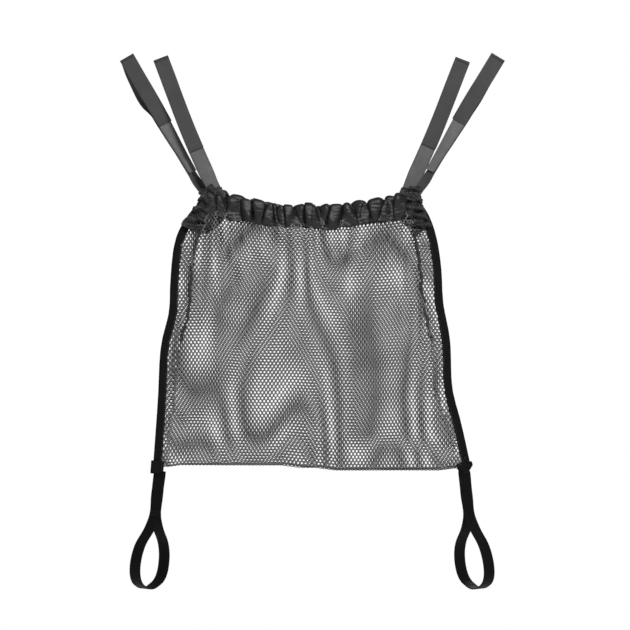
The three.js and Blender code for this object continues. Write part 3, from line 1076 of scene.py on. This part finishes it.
def add_casing(context, which, halves):
    """The gathered nylon that the elastic runs through, folded over and sewn to the net."""
    sizes = context.scene.hay_net_sizes
    node = f"casing_{which}"
    mouth = Mouth(node)
    back = which == "back"
    seed = sizes.seed + (60 if back else 50)
    pleats = Pleats(seed, mouth.low, mouth.high, 0.007, 0.027)
    creases = waves(seed + 1, 7, 0.006, 0.016)
    dents = waves(seed + 2, 6, 0.018, 0.050)
    droop = waves(seed + 3, 4, 0.035, 0.09)
    columns, rows = 460, 52
    x, s = np.meshgrid(
        np.linspace(mouth.low + 0.0005, mouth.high - 0.0005, columns), np.linspace(0, 1, rows),
    )
    depth, foot, top = mouth.line(x)
    if back:
        end_share = np.abs(x) / mouth.high
        top = top + np.where(x < 0, 0.0125, 0.0085) * end_share ** 2 + 0.001
        foot = foot + np.where(x < 0, 0.006, 0.003) * end_share ** 2
    else:
        inboard = np.clip(8 - 8 * np.abs(x) / mouth.high, 0, 1)
        foot = foot - 0.0022 * (1 + droop(x, 0 * x)) * inboard
    half_gap = 0.0031 + 0.0008 * np.sin(x * 47 + seed)
    straight = top - foot - half_gap
    total = 2 * straight + math.pi * half_gap
    d = s * total
    turned = np.clip((d - straight) / half_gap, 0, math.pi)
    up = np.where(d < straight, d, np.where(turned < math.pi, straight, total - d))
    out_y, out_z = -np.cos(turned), np.sin(turned)
    height = np.clip((up + half_gap * out_z) / (top - foot), 0, 1)
    puff, lean = pleats.read(x, height, s * math.pi)
    hem = 0.30 + 0.70 * np.clip(np.minimum(s, 1 - s) / 0.14, 0, 1) ** 1.5
    strength = sizes.pleat_depth * np.where(x < 0, 1.1, 0.85)
    push = strength * hem * (puff - 0.35) + 0.0004 * creases(x, up * 1.4)
    push = push + 0.0019 * hem * dents(x * 1.5, up)
    grid = np.stack([
        x + lean * hem,
        depth + out_y * (half_gap + push),
        foot + up + out_z * (half_gap + push),
    ], -1)
    grid[..., 2] -= 0.0016 * (puff - 0.5) * np.clip(1 - np.minimum(s, 1 - s) / 0.1, 0, 1)
    along = np.stack([x, s * 0.07], -1)
    material = finish_of(context, "nylon")
    stitches = add_hem_stitches(context, which, grid, halves)
    split = int((x[0] <= 0).sum())
    for side in SIDES if halves else [""]:
        cut = {"left": slice(0, split), "right": slice(split - 1, None), "": slice(None)}[side]
        name = f"{node}_{side}_cloth" if side else f"{node}_cloth"
        piece = sheet_piece(
            name, grid[:, cut], sizes.nylon_thickness, material, along[:, cut],
        )
        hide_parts(node)
        fasten_to_mouth(piece, side)


def fasten_to_mouth(piece, side):
    """A piece in halves keeps its place and joins no body; a whole piece goes with the bag."""
    if side:
        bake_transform(piece)
    else:
        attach(piece, "bag")


def add_hem_stitches(context, which, grid, halves):
    """The stitching that holds the casing to the net, on the face away from the bag."""
    row, depthwise = (5, -1.0) if which == "front" else (-6, 1.0)
    out = facing(grid_normals(grid)[row], depthwise)
    path = grid[row] + out * context.scene.hay_net_sizes.nylon_thickness / 2
    split = int((path[:, 0] <= 0).sum())
    spans = {"": slice(4, -4)}
    if halves:
        spans = {"left": slice(4, split), "right": slice(split, -4)}
    made = {}
    for side, span in spans.items():
        name = f"casing_{which}_{side}_stitches" if side else f"casing_{which}_stitches"
        made[side] = stitch_piece(name, [(path[span], out[span])], context)
        fasten_to_mouth(made[side], side)
    return made


def add_elastic(context, which, halves):
    """The flat elastic inside a casing."""
    node = f"elastic_{which}"
    mouth = Mouth(node)
    ends = mouth.low + 0.0005, mouth.high - 0.0005
    spans = {"left": (ends[0], 0), "right": (0, ends[1])} if halves else {"": ends}
    for side, span in spans.items():
        x = np.linspace(*span, 60)
        depth, foot, top = mouth.line(x)
        middle = np.stack([x, depth, (foot + top) / 2], -1)
        across = np.tile((0.0, 0, 1), (len(x), 1))
        ribbon = Ribbon(middle, across, np.cross(np.gradient(middle, axis=0), across))
        piece = strip_piece(
            f"{node}_{side}_band" if side else f"{node}_band", ribbon,
            float((top - foot).mean()), 0.0014, finish_of(context, "elastic"), "elastic",
        )
        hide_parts(node)
        fasten_to_mouth(piece, side)


# ---- Bindings and corner patches ----

def edge_ribbon(node, sign, end_cut, extra=0.0):
    """The middle line of a folded strip down the side of the bag, from the top."""
    solid = Solid(node)
    low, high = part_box(node)
    heights = np.linspace(high.z - end_cut, low.z + 0.003, 40)
    cuts = [solid.section(2, z) for z in heights]
    middle = np.array([
        ((a[0] + b[0]) / 2, (a[1] + b[1]) / 2, z) for (a, b), z in zip(cuts, heights)
    ])
    first, last = unit(middle[0] - middle[2]), unit(middle[-1] - middle[-3])
    middle = np.concatenate([
        [middle[0] + first * end_cut * 0.75], middle, [middle[-1] + last * (0.003 + extra)],
    ])
    down = unit(np.gradient(middle, axis=0))
    inward = np.stack([-sign * np.abs(down[:, 2]), 0 * down[:, 0], -sign * down[:, 0]], -1)
    inward[:, 2] *= np.sign(-down[:, 2])
    inward = unit(inward - down * (inward * down).sum(1)[:, None])
    return Ribbon(middle, inward, np.tile((0.0, -1, 0), (len(middle), 1)))


def folded_piece(name, ribbon, width, half_gap, thickness, material, seed):
    """A strip folded over an edge: its front lip, its fold and its back lip."""
    ribbon = ribbon.resampled(0.003)
    radius, turns = half_gap, 8
    lip = width - radius
    front = [(width / 2 - lip * k / 6, radius) for k in range(6)]
    fold = [
        (-width / 2 + radius - radius * math.sin(math.pi * k / turns),
         radius * math.cos(math.pi * k / turns))
        for k in range(turns + 1)
    ]
    section = np.array(front + fold + [(a, -b) for a, b in reversed(front)])
    wander = waves(seed, 5, 0.02, 0.07)
    grid, strip = [], []
    around = distances(section)
    for k, distance in enumerate(ribbon.along):
        a, b = section.T
        lips = np.clip((a + width / 2) / width, 0, 1)
        edge = 0.0005 * wander(np.array(distance), np.sign(b) * 0.4) * lips
        swell = 0.0005 * wander(np.array(distance) + 0.3, a * 2)
        a, b = a + edge, b + swell * np.sign(b)
        grid.append(
            ribbon.middle[k] + np.outer(a, ribbon.across[k]) + np.outer(b, ribbon.front[k])
        )
        strip.append(np.stack([around, np.full(len(around), distance)], -1))
    grid = np.array(grid)
    return sheet_piece(name, grid, thickness, material, np.array(strip)), grid


def add_bindings(context):
    """The folded binding down each side and the patch over each bottom corner."""
    sizes = context.scene.hay_net_sizes
    material = finish_of(context, "binding")
    for side, sign in SIDES.items():
        lines = []
        for node, width, gap, thickness, end_cut, extra in (
            (f"binding_{side}", sizes.binding_width, 0.0024, sizes.binding_thickness, 0.014, 0.0),
            (f"corner_tab_{side}", 0.020, 0.0044, 0.0012, 0.003, 0.0082),
        ):
            ribbon = edge_ribbon(node, sign, end_cut, extra)
            piece, grid = folded_piece(
                f"{node}_tape", ribbon, width, gap, thickness, material,
                sizes.seed + 70 + sign,
            )
            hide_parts(node)
            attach(piece, "bag")
            normals = grid_normals(grid)
            for column, depthwise in ((1, -1.0), (-2, 1.0)):
                out = facing(normals[:, column], depthwise)
                lines.append((grid[:, column] + out * thickness / 2, out))
        stitches = stitch_piece(f"binding_{side}_stitches", lines, context)
        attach(stitches, "bag")


# ---- Straps and loops ----

def across_line(ribbon, distance, half, lift):
    """A line of sewing straight across a strip."""
    row = ribbon.part(distance, distance + 0.001)
    at = np.linspace(-half, half, 12)[:, None]
    path = row.middle[0] + row.across[0] * at + row.front[0] * lift
    return path, np.tile(row.front[0], (len(path), 1))


def length_line(ribbon, start, end, offset, lift):
    """A line of sewing along a strip."""
    part = ribbon.part(start, end)
    return part.middle + part.across * offset + part.front * lift, part.front


def bellied(run, tape_start, sign):
    """The long part of an outer strap, which turns and swings out behind its folded tab."""
    run = run.resampled(STRIP_STEP)
    start = 0.012
    end = run.along[np.linalg.norm(run.middle - tape_start, axis=1).argmin()] - 0.004
    share = np.clip((run.along - start) / (end - start), 0, 1)
    swell = np.sin(math.pi * share ** 0.9)[:, None] ** 1.4
    angle = math.radians(34) * swell
    outside = sign * np.sign(run.across[:, :1])
    across = run.across * np.cos(angle) + outside * run.front * np.sin(angle)
    front = run.front * np.cos(angle) - outside * run.across * np.sin(angle)
    middle = run.middle + run.front * 0.0125 * np.sin(angle)
    middle = middle + run.across * outside * 0.0075 * swell
    return Ribbon(middle, across, front)


def webbing_size(context):
    sizes = context.scene.hay_net_sizes
    return sizes.webbing_width, sizes.webbing_thickness


def add_strap(context, name):
    """A hanging strap: its long run, its tab, and the hook and loop tapes between them."""
    sizes = context.scene.hay_net_sizes
    webbing = finish_of(context, "webbing")
    size = webbing_size(context)
    tape_size = (sizes.tape_width, sizes.tape_thickness)
    strap, tab = f"{name}_strap", f"{name}_tab"
    run = Ribbon.of_node(f"{name}_run", *size).turned_to(FRONT)
    flap = Ribbon.of_node(f"{name}_flap", *size).turned_to(FRONT)
    loop = Ribbon.of_node(f"{name}_loop_tape", *tape_size).turned_to(FRONT)
    hook = Ribbon.of_node(f"{name}_hook_tape", *tape_size).turned_to(FRONT)
    root = Vector(run.middle[-1])
    pinch = 0.45 if name.startswith("outer") else 0.12
    if name == "outer_left":
        run = bellied(run, loop.middle[0], SIDES["left"])
    run = run.with_tail(0.011)

    def keep_piece(suffix, node, ribbon, measures, finish, slot, wander=0.0):
        ribbon = ribbon.resampled(STRIP_STEP)
        away = np.linalg.norm(ribbon.middle - np.array(root), axis=1)
        near = np.clip(1 - away / 0.034, 0, 1)
        near[ribbon.middle[:, 2] < root.z] = 1
        girth = 1 - pinch * near * near * (3 - 2 * near)
        made = strip_piece(
            f"{name}_{suffix}", ribbon, *measures, finish, slot, wander, girth,
        )
        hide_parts(f"{name}_{node}")
        return made

    long_run = keep_piece("webbing", "run", run, size, webbing, "webbing", 0.0002)
    soft = keep_piece(
        "soft_tape", "loop_tape", loop, tape_size, finish_of(context, "loop"), "hook_and_loop",
    )
    for piece in (long_run, soft):
        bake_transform(piece)
    joined = flap.part(-0.0007, flap.along[-1])
    front = keep_piece("front_webbing", "flap", joined, size, webbing, "webbing", 0.0002)
    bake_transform(front)
    gripping = keep_piece(
        "gripping_tape", "hook_tape", hook, tape_size, finish_of(context, "hook"),
        "hook_and_loop",
    )
    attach(gripping, tab)
    lift, tape_lift = size[1] / 2, tape_size[1] / 2
    end, half, edge = flap.along[-1], size[0] / 2 - 0.0022, tape_size[0] / 2 - 0.0016
    lines = [across_line(flap, end - inset, half, lift) for inset in (0.0025, 0.0058)]
    if name.startswith("outer"):
        lines += [
            length_line(hook, 0.018, hook.along[-1] - 0.002, side * edge, tape_lift)
            for side in (-1, 1)
        ]
    else:
        lines += [
            length_line(flap, end - 0.026, end - 0.0025, side * half, lift) for side in (-1, 1)
        ]
        lines.append(across_line(flap, end - 0.026, half, lift))
    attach(stitch_piece(f"{name}_tab_stitches", lines, context), tab)
    lines = [
        length_line(loop, 0.003, loop.along[-1] - 0.034, side * edge, tape_lift)
        for side in (-1, 1)
    ]
    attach(stitch_piece(f"{name}_strap_stitches", lines, context), strap)


def add_anchor(context, side):
    """The sewn end of an inner strap inside the casing."""
    size = webbing_size(context)
    node = f"anchor_inner_{side}"
    ribbon = Ribbon.of_node(node, *size).turned_to(FRONT).resampled(0.003)
    piece = strip_piece(
        f"{node}_webbing", ribbon, *size, finish_of(context, "webbing"), "webbing",
    )
    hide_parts(node)
    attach(piece, "bag")


def add_loop(context, side):
    """A webbing loop at a bottom corner, both ends pinched into the corner patch."""
    size = webbing_size(context)
    node = f"bottom_loop_{side}"
    ribbon = Ribbon.of_node(node, *size, slack=0.00008).resampled(0.0025)
    piece = strip_piece(
        f"{node}_webbing", ribbon, *size, finish_of(context, "binding"), "webbing", 0.0004,
    )
    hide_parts(node)
    root = Vector((ribbon.middle[0] + ribbon.middle[-1]) / 2)
    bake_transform(piece)
    out = ribbon.front[4]
    lift = size[1] / 2 * np.sign(out @ (ribbon.middle[4] - ribbon.middle[-5]))
    lines = [across_line(ribbon, 0.066 + 0.004 * k, 0.0098, lift) for k in range(2)]
    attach(stitch_piece(f"{node}_stitches", lines, context), f"loop_{side}")


# ---- Stage ----

def add_stage(context):
    """The floor, a white backdrop that lights less brightly than it looks, lights, camera."""
    scene = context.scene
    low, high = (Vector(corner) for corner in CAD_BOX)
    centre = (low + high) / 2
    radius, below = 2.6, low.z - 0.75
    turns = np.linspace(0, 2 * math.pi, 96, endpoint=False)
    ring = [(radius * math.cos(t), radius * math.sin(t), below) for t in turns]
    floor = make_piece(
        "floor", ring, [tuple(range(len(ring)))], finish_of(context, "floor"),
    )
    studio = Recipe("studio", "worlds", "Background", Color=(1, 1, 1, 1))
    seen = studio.node("ShaderNodeLightPath", output="Is Camera Ray")
    level = studio.node("ShaderNodeMapRange", sockets={"Value": seen, "To Min": 0.32})
    scene.world = studio.finish(Strength=level)
    scene.view_settings.view_transform = "Standard"
    for name, place, size, power in (
        ("key light", (0.6, -2.2, 1.5), 0.8, 88),
        ("fill light", (-1.8, -2.0, -0.2), 1.6, 7),
        ("rim light", (0.6, 2.2, 0.8), 1.2, 16),
    ):
        lamp = bpy.data.lights.new(name, "AREA")
        lamp.size = size
        lamp.energy = power
        light = bpy.data.objects.new(name, lamp)
        light.location = centre + Vector(place)
        light.rotation_euler = (centre - light.location).to_track_quat("-Z", "Y").to_euler()
        scene.collection.objects.link(light)
    camera = bpy.data.objects.new("camera", bpy.data.cameras.new("camera"))
    view_width, distance, aim_x, aim_z = 1.014, 4.2, 0.0048, -0.4154
    camera.data.lens = camera.data.sensor_width * distance / view_width
    camera.location = Vector((aim_x, centre.y - distance, aim_z))
    camera.rotation_euler = (math.radians(90), 0, 0)
    scene.collection.objects.link(camera)
    scene.camera = camera


class HAYNET_OT_nets(bpy.types.Operator):
    """Make the front and back nets"""
    bl_idname = "haynet.nets"
    bl_label = "Nets"

    def execute(self, context):
        add_nets(context)
        return {"FINISHED"}


class HAYNET_OT_gussets(bpy.types.Operator):
    """Make the side strips of net, the rolled front seams and the gathered corners, whose darker
    net paints shade
    """
    bl_idname = "haynet.gussets"
    bl_label = "Gussets"

    def execute(self, context):
        add_gussets(context)
        return {"FINISHED"}


class HAYNET_OT_mouth(bpy.types.Operator):
    """Make the gathered casings and their elastics"""
    bl_idname = "haynet.mouth"
    bl_label = "Mouth"

    def execute(self, context):
        for which, halves in (("front", True), ("back", False)):
            add_casing(context, which, halves)
            add_elastic(context, which, halves)
        return {"FINISHED"}


class HAYNET_OT_bindings(bpy.types.Operator):
    """Make the folded side bindings and the corner patches"""
    bl_idname = "haynet.bindings"
    bl_label = "Bindings"

    def execute(self, context):
        add_bindings(context)
        return {"FINISHED"}


class HAYNET_OT_straps(bpy.types.Operator):
    """Make the four hanging straps"""
    bl_idname = "haynet.straps"
    bl_label = "Hanging straps"

    def execute(self, context):
        for name in STRAPS:
            add_strap(context, name)
        for side in SIDES:
            add_anchor(context, side)
        return {"FINISHED"}


class HAYNET_OT_loops(bpy.types.Operator):
    """Make the two bottom loops"""
    bl_idname = "haynet.loops"
    bl_label = "Bottom loops"

    def execute(self, context):
        for side in SIDES:
            add_loop(context, side)
        return {"FINISHED"}


class HAYNET_OT_stage(bpy.types.Operator):
    """Make the floor, the lights and the camera"""
    bl_idname = "haynet.stage"
    bl_label = "Stage"

    def execute(self, context):
        add_stage(context)
        return {"FINISHED"}


OPERATORS = (
    HAYNET_OT_stage, HAYNET_OT_nets, HAYNET_OT_gussets, HAYNET_OT_mouth,
    HAYNET_OT_bindings, HAYNET_OT_straps, HAYNET_OT_loops,
)


class HAYNET_PT_panel(bpy.types.Panel):
    """Lists the sizes, the colours and the pieces"""
    bl_idname = "HAYNET_PT_panel"
    bl_label = "Hay Net"
    bl_space_type = "VIEW_3D"
    bl_region_type = "UI"
    bl_category = "Hay Net"

    def draw(self, context):
        layout = self.layout
        for settings in (context.scene.hay_net_sizes, context.scene.hay_net_colours):
            column = layout.column(align=True)
            for name in settings.__annotations__:
                column.prop(settings, name)
        for operator in OPERATORS:
            layout.operator(operator.bl_idname)


CLASSES = (HayNetSizes, HayNetColours, *OPERATORS, HAYNET_PT_panel)


def register():
    for kind in CLASSES:
        bpy.utils.register_class(kind)
    bpy.types.Scene.hay_net_sizes = PointerProperty(type=HayNetSizes)
    bpy.types.Scene.hay_net_colours = PointerProperty(type=HayNetColours)


def unregister():
    del bpy.types.Scene.hay_net_colours
    del bpy.types.Scene.hay_net_sizes
    for kind in reversed(CLASSES):
        bpy.utils.unregister_class(kind)


def main():
    register()
    for operator in OPERATORS:
        group, name = operator.bl_idname.split(".")
        getattr(getattr(bpy.ops, group), name)()


if __name__ == "__main__":
    main()
